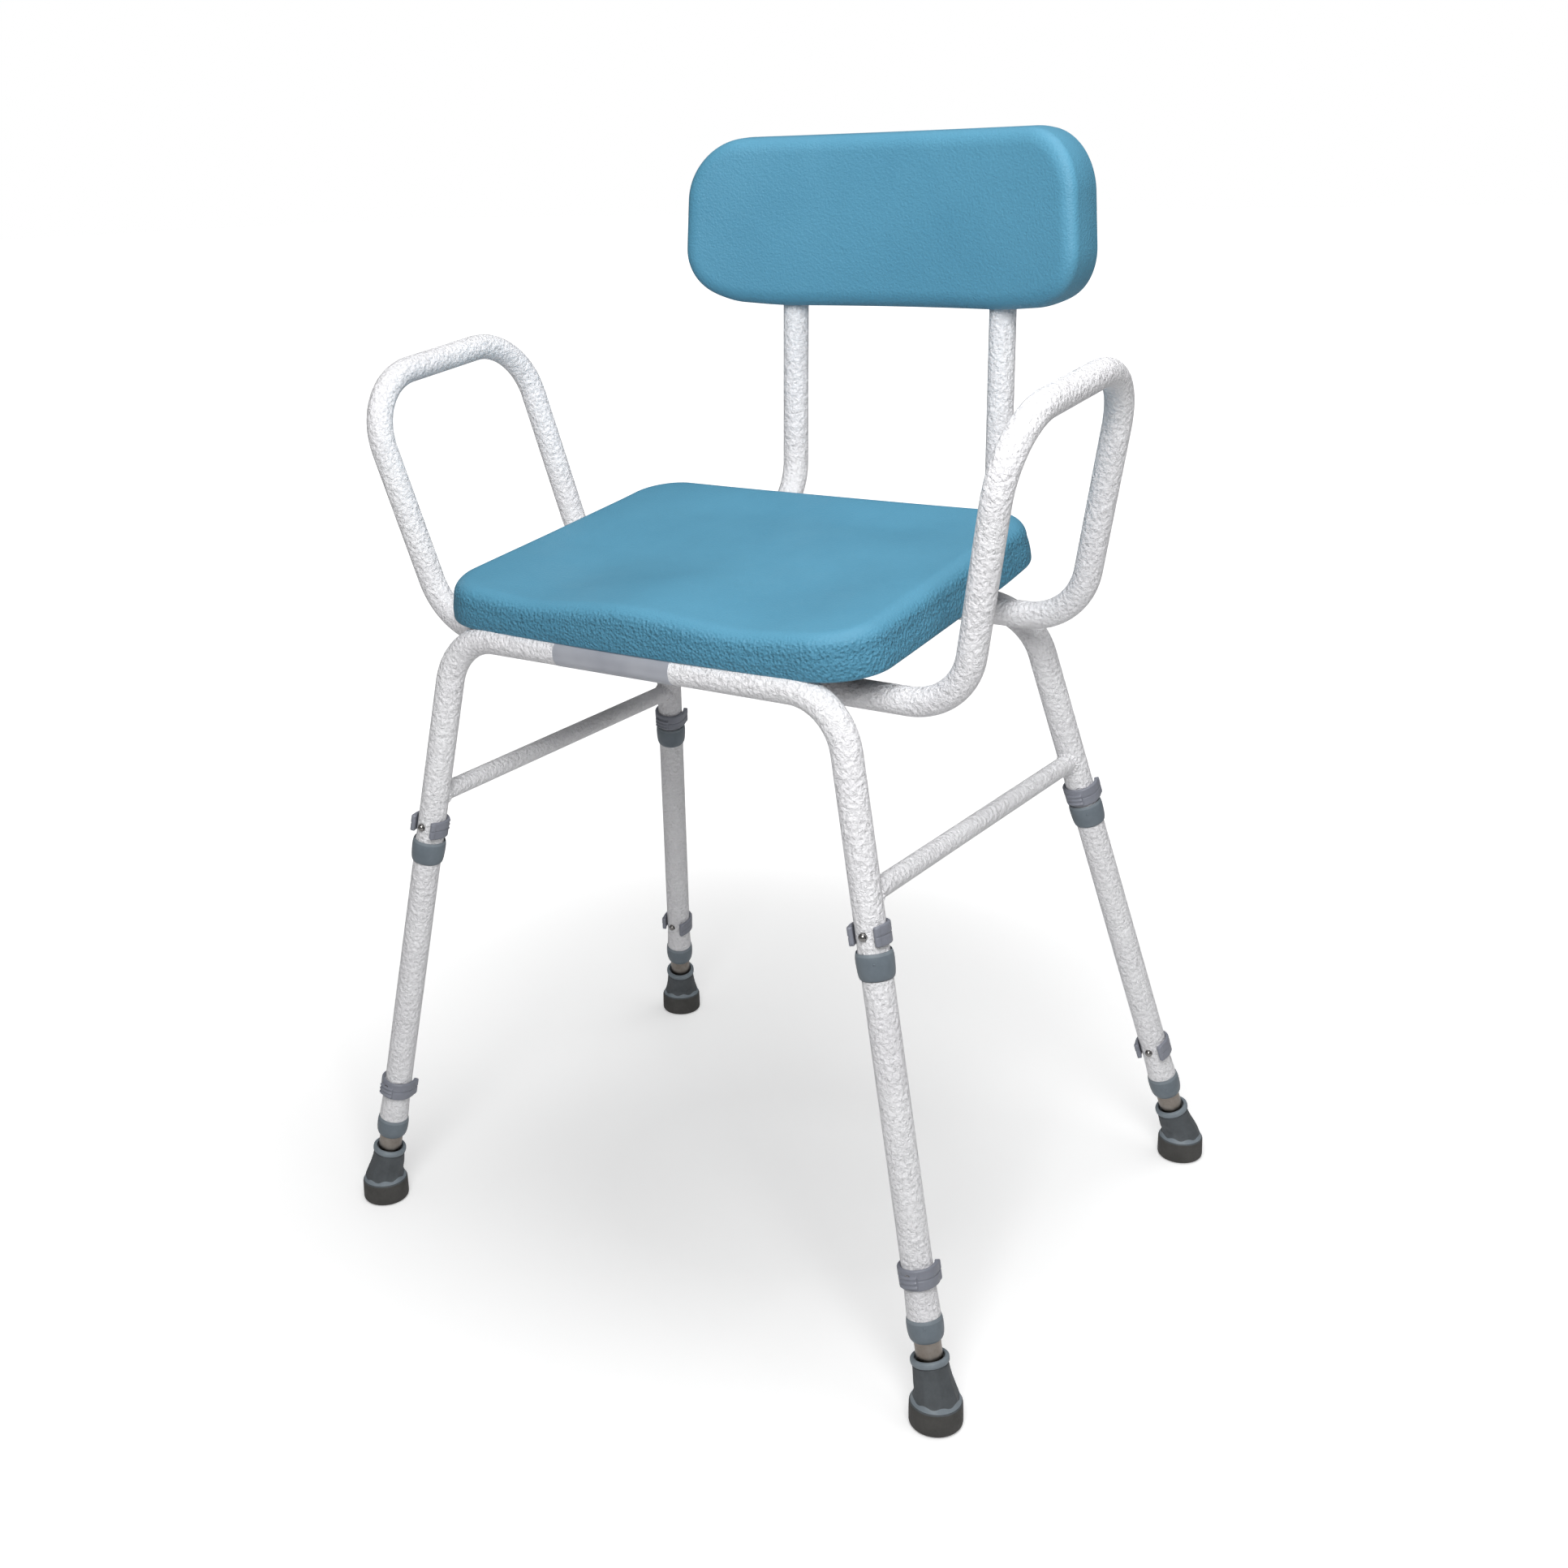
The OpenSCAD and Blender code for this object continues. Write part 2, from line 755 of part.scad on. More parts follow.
lower_pin_part(2);  // lower_pin_rl
lower_pin_part(3);  // lower_pin_rr
ferrule(0);  // ferrule_fl
ferrule(1);  // ferrule_fr
ferrule(2);  // ferrule_rl
ferrule(3);  // ferrule_rr
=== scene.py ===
# Shower stool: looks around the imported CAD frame. Metres, +Z up, -Y is the front.
import json
import math

import bpy
import numpy as np
from mathutils import Matrix, Vector

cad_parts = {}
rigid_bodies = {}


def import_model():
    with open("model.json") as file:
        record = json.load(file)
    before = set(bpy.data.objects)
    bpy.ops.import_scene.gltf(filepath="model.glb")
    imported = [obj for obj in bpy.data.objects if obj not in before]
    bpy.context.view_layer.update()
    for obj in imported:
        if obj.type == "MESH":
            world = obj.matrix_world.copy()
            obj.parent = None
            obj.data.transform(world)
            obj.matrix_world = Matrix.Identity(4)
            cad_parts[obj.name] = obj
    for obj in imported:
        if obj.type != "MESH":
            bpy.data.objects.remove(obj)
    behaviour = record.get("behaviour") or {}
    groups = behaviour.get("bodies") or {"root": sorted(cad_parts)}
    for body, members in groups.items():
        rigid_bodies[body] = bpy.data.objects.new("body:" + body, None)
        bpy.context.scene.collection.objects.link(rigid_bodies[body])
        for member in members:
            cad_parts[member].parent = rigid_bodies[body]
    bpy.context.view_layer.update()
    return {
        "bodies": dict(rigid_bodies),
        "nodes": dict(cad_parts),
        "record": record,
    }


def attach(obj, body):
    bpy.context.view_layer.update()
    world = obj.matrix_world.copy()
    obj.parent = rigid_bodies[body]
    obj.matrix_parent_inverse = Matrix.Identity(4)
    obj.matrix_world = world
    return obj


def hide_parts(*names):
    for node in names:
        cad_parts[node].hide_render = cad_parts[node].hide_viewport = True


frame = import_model()
NODES = frame["nodes"]
MM = 0.001
TAU = 2 * math.pi

# ------------------------------------------------------------------ sizes, as in the part's source (mm)
FOOT_X = (268.1, 272.0)
FOOT_Y = 216.0
SPLAY = (10.9, 10.4)
RAKE = (3.9, -14.25)
BAR_Z = (502.7, 507.0)
TUBE_R, RAIL_R = 11.1, 7.5
UPPER_PIN = (351.0, 367.0)
LOWER_PIN = (111.5, 115.0)
CROSS_Z = 15.3
TILT = 7.3
BACK_X, BACK_CORNER, LEAN = 100.8, 373.2, 1.78
UPPER_COLLAR_DROP = (31.3, 28.3)
LOWER_COLLAR_T = 66.0
RAIL_ABOVE_PIN = (25.2, 28.9)
# the front legs' lower clip and collar sit lower than their solids, and the collar is shorter
FRONT_CLIP_DROP, FRONT_COLLAR_DROP, FRONT_COLLAR_CUT = 1.5, 3.2, 0.12


def sin(d):
    return math.sin(math.radians(d))


def cos(d):
    return math.cos(math.radians(d))


def unit(v):
    v = np.asarray(v, float)
    return v / np.linalg.norm(v)


def row(i):
    return 0 if i < 2 else 1


def side(i):
    return -1 if i % 2 == 0 else 1


def leg_dir(i):
    a, r = SPLAY[row(i)], RAKE[row(i)]
    return np.array([-side(i) * sin(a), sin(r) * cos(a), cos(r) * cos(a)])


def leg_y(i):
    r = RAKE[row(i)]
    return np.array([0.0, cos(r), -sin(r)])


def base_mid(i):
    return np.array([side(i) * FOOT_X[row(i)], -FOOT_Y if i < 2 else FOOT_Y, CROSS_Z])


def leg_foot(i):
    d = leg_dir(i)
    return base_mid(i) - d * (CROSS_Z / d[2])


def leg_at(i, t):
    return leg_foot(i) + leg_dir(i) * t


def corner_t(i):
    return BAR_Z[row(i)] / leg_dir(i)[2]


BAR_Y = leg_at(0, corner_t(0))[1]


def on_seat(x, s, n):
    """A point over the tubes' tilted plane: x across, s back along it, n up from it."""
    return np.array([x, BAR_Y + s * cos(TILT) - n * sin(TILT), BAR_Z[0] + s * sin(TILT) + n * cos(TILT)])


UP_DIR = np.array([0.0, sin(LEAN), cos(LEAN)])


def upright_at(sx, z):
    p = on_seat(sx * BACK_X, BACK_CORNER, 0)
    return p + UP_DIR * ((z - p[2]) / UP_DIR[2])


LEGS = ("fl", "fr", "rl", "rr")


# ------------------------------------------------------------------ materials
def material(name, color, rough=0.5, metal=0.0, spec=0.5):
    m = bpy.data.materials.new(name)
    m.use_nodes = True
    b = m.node_tree.nodes["Principled BSDF"]
    b.inputs["Base Color"].default_value = (*color, 1)
    b.inputs["Roughness"].default_value = rough
    b.inputs["Metallic"].default_value = metal
    b.inputs["Specular IOR Level"].default_value = spec
    return m, m.node_tree, b


def srgb(r, g, b):
    return tuple(
        (c / 255) / 12.92 if c / 255 <= 0.04045 else ((c / 255 + 0.055) / 1.055) ** 2.4 for c in (r, g, b)
    )


def link(t, a, b):
    t.links.new(a, b)


def coords(t):
    return t.nodes.new("ShaderNodeTexCoord").outputs["Object"]


def noise(t, vec, scale, detail=2.0, rough=0.5, distortion=0.0):
    n = t.nodes.new("ShaderNodeTexNoise")
    n.inputs["Scale"].default_value = scale
    n.inputs["Detail"].default_value = detail
    n.inputs["Roughness"].default_value = rough
    n.inputs["Distortion"].default_value = distortion
    link(t, vec, n.inputs["Vector"])
    return n.outputs["Fac"]


def voronoi(t, vec, scale, smooth):
    n = t.nodes.new("ShaderNodeTexVoronoi")
    n.feature = "SMOOTH_F1"
    n.inputs["Scale"].default_value = scale
    n.inputs["Smoothness"].default_value = smooth
    link(t, vec, n.inputs["Vector"])
    return n.outputs["Distance"]


def math_node(t, op, a, b=None, clamp=False):
    n = t.nodes.new("ShaderNodeMath")
    n.operation = op
    n.use_clamp = clamp
    for k, v in enumerate((a, b)):
        if v is None:
            continue
        if isinstance(v, (int, float)):
            n.inputs[k].default_value = v
        else:
            link(t, v, n.inputs[k])
    return n.outputs[0]


def ramp(t, fac, stops):
    n = t.nodes.new("ShaderNodeValToRGB")
    e = n.color_ramp.elements
    while len(e) < len(stops):
        e.new(0.5)
    for k, (p, c) in enumerate(stops):
        e[k].position = p
        e[k].color = (*c, 1)
    link(t, fac, n.inputs["Fac"])
    return n.outputs["Color"]


def span(t, fac, lo, hi, to_lo, to_hi):
    n = t.nodes.new("ShaderNodeMapRange")
    for k, v in (("From Min", lo), ("From Max", hi), ("To Min", to_lo), ("To Max", to_hi)):
        n.inputs[k].default_value = v
    link(t, fac, n.inputs["Value"])
    return n.outputs["Result"]


def bump(t, shader, height, distance, strength=1.0, below=None):
    n = t.nodes.new("ShaderNodeBump")
    n.inputs["Strength"].default_value = strength
    n.inputs["Distance"].default_value = distance
    link(t, height, n.inputs["Height"])
    if below is not None:
        link(t, below, n.inputs["Normal"])
    if shader is not None:
        link(t, n.outputs["Normal"], shader.inputs["Normal"])
    return n.outputs["Normal"]


def white_coat():
    m, t, b = material("white_powder_coat", srgb(240, 240, 242), 0.36, spec=0.4)
    c = coords(t)
    # leathery orange peel: soft cells and wrinkles over a gentle unevenness
    cells = voronoi(t, c, 300, smooth=0.75)
    wrinkle = noise(t, c, 380, 3.0, 0.55, 1.5)
    h = math_node(t, "ADD", math_node(t, "MULTIPLY", cells, 0.8), math_node(t, "MULTIPLY", wrinkle, 0.9))
    n1 = bump(t, None, noise(t, c, 60, 2.0, 0.5), 0.0015, 0.6)
    bump(t, b, h, 0.0020, 1.0, n1)
    link(t, span(t, wrinkle, 0.3, 0.7, 0.32, 0.44), b.inputs["Roughness"])
    coat = ramp(t, noise(t, c, 14, 3.0, 0.6), [(0.3, srgb(235, 234, 237)), (0.7, srgb(243, 243, 245))])
    link(t, coat, b.inputs["Base Color"])
    return m


def pad_skin():
    m, t, b = material("blue_self_skinned_foam", srgb(90, 152, 182), 0.5, spec=0.28)
    c = coords(t)
    g = t.nodes.new("ShaderNodeNewGeometry")
    sep = t.nodes.new("ShaderNodeSeparateXYZ")
    link(t, g.outputs["True Normal"], sep.inputs["Vector"])
    # the walls carry a coarser, deeper grain than the sitting surface; the same mask also darkens their
    # colour as painted shade
    wall = span(t, math_node(t, "ABSOLUTE", sep.outputs["Z"]), 0.35, 0.85, 1.0, 0.0)
    back_face = span(t, c_axis(t, c, "Z"), 0.62, 0.66, 0.0, 1.0)
    seat_share = math_node(t, "SUBTRACT", 1.0, math_node(t, "MULTIPLY", back_face, 0.8))
    wall = math_node(t, "MULTIPLY", wall, seat_share, True)
    coarse_noise = math_node(t, "MULTIPLY", noise(t, c, 520, 3.0, 0.6, 1.0), 0.8)
    coarse = math_node(t, "ADD", voronoi(t, c, 420, smooth=0.6), coarse_noise)
    fine_noise = math_node(t, "MULTIPLY", noise(t, c, 1000, 2.0, 0.6), 0.6)
    fine = math_node(t, "ADD", voronoi(t, c, 700, smooth=0.55), fine_noise)
    n1 = bump(t, None, fine, 0.0003, 0.7)
    b2 = t.nodes.new("ShaderNodeBump")
    b2.inputs["Distance"].default_value = 0.0018
    link(t, wall, b2.inputs["Strength"])
    link(t, coarse, b2.inputs["Height"])
    link(t, n1, b2.inputs["Normal"])
    link(t, b2.outputs["Normal"], b.inputs["Normal"])
    skin = ramp(t, noise(t, c, 9, 3.0, 0.6), [(0.3, srgb(80, 139, 166)), (0.7, srgb(86, 146, 173))])
    # painted shade: the side walls' blue is multiplied darker, standing in for the shade that falls on them
    painted_wall_shade = t.nodes.new("ShaderNodeMixRGB")
    painted_wall_shade.blend_type = "MULTIPLY"
    painted_wall_shade.inputs["Color2"].default_value = (0.86, 0.93, 0.95, 1)
    link(t, wall, painted_wall_shade.inputs["Fac"])
    link(t, skin, painted_wall_shade.inputs["Color1"])
    link(t, painted_wall_shade.outputs["Color"], b.inputs["Base Color"])
    link(t, span(t, noise(t, c, 25, 2.0, 0.5), 0.3, 0.7, 0.46, 0.56), b.inputs["Roughness"])
    return m


def c_axis(t, vec, axis):
    s = t.nodes.new("ShaderNodeSeparateXYZ")
    link(t, vec, s.inputs["Vector"])
    return s.outputs[axis]


def moulded(name, color, rough, grain=700, depth=0.00008, dust=None):
    m, t, b = material(name, color, rough, spec=0.4)
    c = coords(t)
    g = noise(t, c, grain, 3.0, 0.6)
    bump(t, b, g, depth, 0.6)
    if dust is not None:
        dusty = ramp(t, noise(t, c, 60, 4.0, 0.65), [(0.35, color), (0.75, dust)])
        link(t, dusty, b.inputs["Base Color"])
    link(t, span(t, g, 0.3, 0.7, rough - 0.06, rough + 0.08), b.inputs["Roughness"])
    return m


def zinc_tube():
    m, t, b = material("zinc_plated_tube", srgb(150, 142, 134), 0.3, 1.0)
    c = coords(t)
    mp = t.nodes.new("ShaderNodeMapping")
    mp.inputs["Scale"].default_value = (900, 900, 40)
    link(t, c, mp.inputs["Vector"])
    streak = noise(t, mp.outputs["Vector"], 1.0, 2.0, 0.6)
    bump(t, b, streak, 0.00003, 0.35)
    cloud = noise(t, c, 70, 4.0, 0.65)
    tint = ramp(t, cloud, [(0.3, srgb(126, 117, 109)), (0.7, srgb(166, 159, 152))])
    link(t, tint, b.inputs["Base Color"])
    link(t, span(t, cloud, 0.3, 0.7, 0.26, 0.42), b.inputs["Roughness"])
    return m


def bright_steel():
    m, t, b = material("bright_steel", srgb(150, 148, 146), 0.16, 1.0)
    c = coords(t)
    g = noise(t, c, 500, 3.0, 0.6)
    bump(t, b, g, 0.00003, 0.4)
    link(t, span(t, g, 0.3, 0.7, 0.12, 0.22), b.inputs["Roughness"])
    return m


def label_film():
    m, t, b = material("silver_label_film", srgb(176, 179, 188), 0.33, 0.35)
    c = coords(t)
    g = noise(t, c, 260, 2.0, 0.5)
    bump(t, b, g, 0.00006, 0.5)
    film = ramp(t, noise(t, c, 30, 2.0, 0.5), [(0.3, srgb(168, 171, 181)), (0.7, srgb(186, 189, 197))])
    link(t, film, b.inputs["Base Color"])
    return m


M_WHITE = white_coat()
M_PAD = pad_skin()
M_BOARD = moulded("black_board", srgb(30, 31, 34), 0.55, 500, 0.0001)
M_CLIP = moulded("grey_clip_plastic", srgb(124, 127, 137), 0.4, 900, 0.00005, srgb(136, 139, 149))
M_COLLAR = moulded("dark_grey_collar_plastic", srgb(101, 111, 119), 0.4, 900, 0.00005, srgb(114, 124, 132))
M_RUBBER = moulded("grey_rubber", srgb(72, 76, 79), 0.62, 650, 0.00012, srgb(86, 91, 95))
M_BASE = moulded("dark_rubber_foot", srgb(62, 61, 59), 0.66, 650, 0.00014, srgb(76, 75, 73))
# a pale grey for rims: the ferrules' rim rows, and the collars' top edges as a painted highlight
M_PALE_RIM_AND_HIGHLIGHT = moulded("pale_grey_rim_and_painted_highlight", srgb(116, 125, 132), 0.5, 650, 0.0001, srgb(132, 142, 149))
M_BLACK = moulded("black_plastic", srgb(34, 35, 38), 0.5)
M_ZINC = zinc_tube()
M_STEEL = bright_steel()
M_LABEL = label_film()


# ------------------------------------------------------------------ mesh helpers
def add_mesh(name, verts, faces, mats, sharp=None):
    me = bpy.data.meshes.new(name)
    me.from_pydata([tuple(np.asarray(v, float) * MM) for v in verts], [], faces)
    me.validate()
    o = bpy.data.objects.new(name, me)
    bpy.context.scene.collection.objects.link(o)
    for m in mats if isinstance(mats, (list, tuple)) else [mats]:
        me.materials.append(m)
    me.polygons.foreach_set("use_smooth", [True] * len(me.polygons))
    if sharp is not None:
        me.set_sharp_from_angle(angle=math.radians(sharp))
    me.update()
    return o


def stitch(rings, cap_start=False, cap_end=False):
    """Quads between equal closed rings; rings is a list of (n,3) arrays."""
    n = len(rings[0])
    verts = np.vstack(rings)
    faces = []
    for a in range(len(rings) - 1):
        for k in range(n):
            j = (k + 1) % n
            faces.append((a * n + k, a * n + j, (a + 1) * n + j, (a + 1) * n + k))
    if cap_start:
        verts = np.vstack([verts, rings[0].mean(0)])
        c = len(verts) - 1
        faces += [(c, (k + 1) % n, k) for k in range(n)]
    if cap_end:
        verts = np.vstack([verts, rings[-1].mean(0)])
        c = len(verts) - 1
        o = (len(rings) - 1) * n
        faces += [(c, o + k, o + (k + 1) % n) for k in range(n)]
    return verts, faces


def frame_on(d, y=None):
    """Rotation whose columns are x, y, d."""
    d = unit(d)
    if y is None:
        y = np.array([0, 0, 1.0]) if abs(d[2]) < 0.9 else np.array([0, 1.0, 0])
    x = unit(np.cross(y, d))
    return np.column_stack([x, np.cross(d, x), d])


def outline(hw, s0, s1, rc, n_arc=24, n_x=40, n_s=32):
    """Rounded rectangle, counter-clockwise, with outward normals."""
    pts, nor = [], []
    corners = ((1, s0 + rc, -90), (1, s1 - rc, 0), (-1, s1 - rc, 90), (-1, s0 + rc, 180))
    for q, (sx, cy, a0) in enumerate(corners):
        cx = sx * (hw - rc)
        for a in np.linspace(a0, a0 + 90, n_arc, endpoint=False):
            pts.append((cx + rc * cos(a), cy + rc * sin(a)))
            nor.append((cos(a), sin(a)))
        a1 = a0 + 90
        e0 = np.array([cx + rc * cos(a1), cy + rc * sin(a1)])
        nx, ny, _ = corners[(q + 1) % 4]
        e1 = np.array([nx * (hw - rc) + rc * cos(a1), ny + rc * sin(a1)])
        m = n_s if q % 2 == 0 else n_x
        for k in range(m):
            pts.append(tuple(e0 + (e1 - e0) * k / m))
            nor.append((cos(a1), sin(a1)))
    return np.array(pts), np.array(nor)


def smoothstep(a, b, x):
    t = np.clip((np.asarray(x, float) - a) / (b - a), 0, 1)
    return t * t * (3 - 2 * t)


# ------------------------------------------------------------------ seat pad
SEAT_W0, SEAT_W1, SEAT_S0, SEAT_S1, SEAT_R = 191.3, 187.3, -3.8, 288.8, 43.0


def seat_outline(inset=0.0, bow=4.5):
    o, nrm = outline(SEAT_W0 - inset, SEAT_S0 + inset, SEAT_S1 - inset, SEAT_R - inset, 26, 48, 40)
    o = o.copy()
    o[:, 0] *= 1 + (SEAT_W1 / SEAT_W0 - 1) * smoothstep(SEAT_S0, SEAT_S1, o[:, 1])
    middle = 1 - np.clip(np.abs(o[:, 0]) / SEAT_W0, 0, 1) ** 2
    o[:, 1] -= bow * middle * (1 - smoothstep(SEAT_S0, 70, o[:, 1]))
    return o, nrm


def seat_top(x, s):
    """Height of the moulded top over the tubes' plane, before the edge is rounded off."""
    u = np.abs(x) / SEAT_W0
    v = (s - SEAT_S0) / (SEAT_S1 - SEAT_S0)
    base = 41.3 + 4.7 * v
    bowl = -7.0 * np.exp(-((u / 0.74) ** 4)) * smoothstep(0.1, 0.5, v) * (1 - smoothstep(0.76, 1.0, v))
    thigh = -5.0 * np.exp(-(((u - 0.5) / 0.25) ** 2)) * (1 - smoothstep(0.2, 0.7, v))
    pommel = 1.6 * np.exp(-((u / 0.2) ** 2)) * (1 - smoothstep(0.12, 0.55, v))
    return base + bowl + thigh + pommel


def seat_pad():
    o, nrm = seat_outline()
    mid = np.array([0, (SEAT_S0 + SEAT_S1) / 2])
    edge, fall = 15.0, 14.0
    inner = o - nrm * edge
    rings = []
    for k in np.linspace(0.015, 1, 60):
        p = mid + (inner - mid) * k
        rings.append(np.column_stack([p, seat_top(p[:, 0], p[:, 1])]))
    top = seat_top(inner[:, 0], inner[:, 1])
    for a in np.linspace(5, 90, 18):
        rings.append(np.column_stack([o - nrm * edge * (1 - sin(a)), top - fall * (1 - cos(a))]))
    # the skirt hangs over the board's edge, lowest at the front, and clears the back tubes at the rear
    low = 8.4 + 3.5 * smoothstep(200, 280, o[:, 1])
    flare = np.column_stack([nrm[:, 0] * 3.2, nrm[:, 1] * 0.8])
    for f in np.linspace(0.1, 1, 9):
        z = (top - fall) * (1 - f) + (low + 3.2) * f
        rings.append(np.column_stack([o + flare * f + nrm * 0.6 * sin(180 * f), z]))
    o = o + flare
    for a in np.linspace(15, 90, 6):
        rings.append(np.column_stack([o - nrm * 3.2 * (1 - cos(a)), low + 3.2 * (1 - sin(a))]))
    rings.append(np.column_stack([o - nrm * 5.2, low + 0.4]))
    rings.append(np.column_stack([o - nrm * 6.0, np.maximum(low + 1.2, 11.4)]))
    for k in (0.9, 0.5, 0.03):
        rings.append(np.column_stack([mid + (o - nrm * 7 - mid) * k, np.full(len(o), 12.6)]))
    verts, faces = stitch(rings, cap_start=True, cap_end=True)
    ob = add_mesh("seat_cushion", [on_seat(*v) for v in verts], faces, M_PAD)
    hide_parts("seat_pad")
    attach(ob, "frame")


def seat_board():
    o, nrm = seat_outline(5.4)
    rings = []
    for d, z in ((40, 0), (0.9, 0), (0.3, 0.2), (0, 0.7), (0, 2.2), (0.5, 2.9), (1.4, 3.0), (40, 3.0)):
        rings.append(np.column_stack([o - nrm * d, np.full(len(o), z + TUBE_R)]))
    verts, faces = stitch(rings, cap_start=True, cap_end=True)
    ob = add_mesh("black_seat_board", [on_seat(*v) for v in verts], faces, M_BOARD)
    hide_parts("seat_board")
    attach(ob, "frame")


# ------------------------------------------------------------------ backrest pad
REST = dict(ye=141.2, z=799.3, w0=187.8, w1=182.0, h=70.8, th=46.0, bow=36.0)


def backrest():
    w = REST["w0"]
    o, nrm = outline(w, -REST["h"], REST["h"], 50.0, 30, 52, 14)
    o = o.copy()
    # the lower corners are rounder than the upper ones and the pad narrows upwards
    o[:, 0] *= 1 + (REST["w1"] / REST["w0"] - 1) * smoothstep(-REST["h"], REST["h"], o[:, 1])
    far_out = np.abs(o[:, 0])
    lift = 4.0 * smoothstep(95, 165, far_out) * smoothstep(0, -REST["h"], o[:, 1])
    o[:, 1] += lift * (1 - smoothstep(150, 187, far_out) * 0.6)

    def deep(p):
        return REST["th"] + 3.6 * np.clip(np.abs(p[:, 0]) / w, 0, 1) ** 2

    def bowed(x):
        return REST["ye"] + REST["bow"] * (1 - (x / w) ** 2)

    def crown(p):
        return 1.6 * (np.clip(np.abs(p[:, 1]) / REST["h"], 0, 1) ** 2) - 1.6

    def ring(p, off):
        return np.column_stack([p[:, 0], bowed(p[:, 0]) + off, p[:, 1]])

    e, eb = 15.0, 11.0
    inner, inb = o - nrm * e, o - nrm * eb
    rings = []
    for k in np.linspace(0.015, 1, 44):
        p = inner * k
        rings.append(ring(p, crown(p)))
    c = crown(inner)
    for a in np.linspace(5, 90, 16):
        rings.append(ring(o - nrm * e * (1 - sin(a)), c + 12.5 * (1 - cos(a))))
    for q in np.linspace(0.12, 0.88, 6):
        rings.append(ring(o + nrm * 0.8 * sin(180 * q), (c + 12.5) * (1 - q) + (deep(o) - 9.0) * q))
    for a in np.linspace(0, 90, 12):
        rings.append(ring(o - nrm * eb * (1 - cos(a)), deep(o) - 9.0 * (1 - sin(a))))
    for k in np.linspace(0.97, 0.015, 34):
        rings.append(ring(inb * k, deep(inb * k)))
    verts, faces = stitch(rings, cap_start=True, cap_end=True)
    verts = np.array(verts)
    verts[:, 2] += REST["z"]
    ob = add_mesh("back_cushion", verts, faces, M_PAD)
    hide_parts("backrest_pad")
    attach(ob, "frame")
    # moulded collars where the uprights go in
    for sx, tag in ((-1, "left"), (1, "right")):
        zb = REST["z"] - REST["h"]
        p0, d = upright_at(sx, zb + 1.6), UP_DIR
        rot = frame_on(d)
        prof = ((13.6, 3.0), (13.4, 0.4), (12.6, -0.9), (11.9, -1.2), (11.4, -0.6), (11.35, 3.0))
        rr = []
        for r, h in prof:
            a = np.linspace(0, TAU, 48, endpoint=False)
            q = np.column_stack([r * np.cos(a), r * np.sin(a), np.full(48, h)])
            rr.append(q @ rot.T + p0)
        v, f = stitch(rr)
        s = add_mesh("back_cushion_socket_" + tag, v, f, M_PAD)
        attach(s, "frame")


# ------------------------------------------------------------------ spring clips
CLIP_IN, CLIP_BAND, CLIP_H = 11.4, 2.6, 14.5


def clip(name, i, t, turned, body, cad_node):
    """C-shaped snap band: thick lips towards -y, ribbed boss at the back, groove round the middle."""
    rm = CLIP_IN + CLIP_BAND / 2
    reach = 12.0
    ys = np.linspace(-reach, 0, 26)
    arm = np.column_stack([rm - 3.0 * (np.clip(-ys - 1, 0, None) / (reach - 1)) ** 1.7, ys])
    arc = np.array([(rm * cos(a), rm * sin(a)) for a in np.linspace(0, 180, 82)[1:-1]])
    c = np.vstack([arm, arc, (arm * [-1, 1])[::-1]])
    tan = np.gradient(c, axis=0)
    nor = np.column_stack([tan[:, 1], -tan[:, 0]])
    nor /= np.linalg.norm(nor, axis=1)[:, None]
    step = np.r_[0, np.cumsum(np.linalg.norm(np.diff(c, axis=0), axis=1))]
    end = np.minimum(step, step[-1] - step)
    half = np.full(len(c), CLIP_BAND / 2)
    half += 0.62 * smoothstep(4.6, 3.6, end)
    half *= np.sqrt(np.clip(1 - (1 - np.clip(end / 1.5, 0, 1)) ** 2, 0.01, 1))
    tall = 0.93 + 0.07 * smoothstep(3.4, 5.2, end) - 0.2 * (1 - np.clip(end / 1.4, 0, 1)) ** 2
    ang = np.degrees(np.arctan2(c[:, 1], c[:, 0])) - 90
    across = rm * np.radians(ang)
    shares = [-1, -0.97, -0.9, -0.8, -0.66, -0.6, -0.54, -0.48, -0.42, -0.36, -0.3, -0.24]
    shares += [-0.18, -0.12, -0.08, -0.04]
    shares += [0, 0.04, 0.08, 0.14, 0.2, 0.26, 0.32, 0.38, 0.44, 0.5, 0.6, 0.8, 0.9, 0.97, 1]
    zs = np.array(shares) * CLIP_H / 2
    edge = np.clip((np.abs(zs) - CLIP_H / 2 + 0.7) / 0.7, 0, 1)
    outer_r, inner_r = [], []
    for z, e in zip(zs, edge):
        groove = 0.6 * math.exp(-((z / 0.5) ** 2)) + 0.18 * (z < 0)
        boss = smoothstep(6.3, 5.5, np.abs(across)) * smoothstep(-5.4, -4.8, z)
        boss = boss * (1 - smoothstep(3.2, 3.8, z)) * (np.abs(ang) < 60)
        ribs = 0.45 * (math.cos(TAU * (z + 0.8) / 3.4) - 1)
        off = half - 0.6 * e * e - groove * (1 - boss) + boss * (2.1 + ribs)
        outer_r.append(np.column_stack([c + nor * off[:, None], z * tall]))
        inner_r.append(np.column_stack([c - nor * (half - 0.2 * e * e)[:, None], z * tall]))
    n, m = len(c), len(zs)
    verts = np.vstack(outer_r + inner_r)
    faces = []
    for j in range(m - 1):
        for k in range(n - 1):
            a, b = j * n + k, (j + 1) * n + k
            faces.append((a, a + 1, b + 1, b))
            a, b = a + m * n, b + m * n
            faces.append((a, b, b + 1, a + 1))
        for k in (0, n - 1):
            a, b = j * n + k, (j + 1) * n + k
            q = (a, b, b + m * n, a + m * n)
            faces.append(q if k == 0 else q[::-1])
    for j in (0, m - 1):
        for k in range(n - 1):
            a, b = j * n + k, j * n + k + m * n
            q = (a, b, b + 1, a + 1)
            faces.append(q if j == 0 else q[::-1])
    put_on_leg(name, i, t, turned, verts, faces, M_CLIP, body, cad_node, sharp=50)


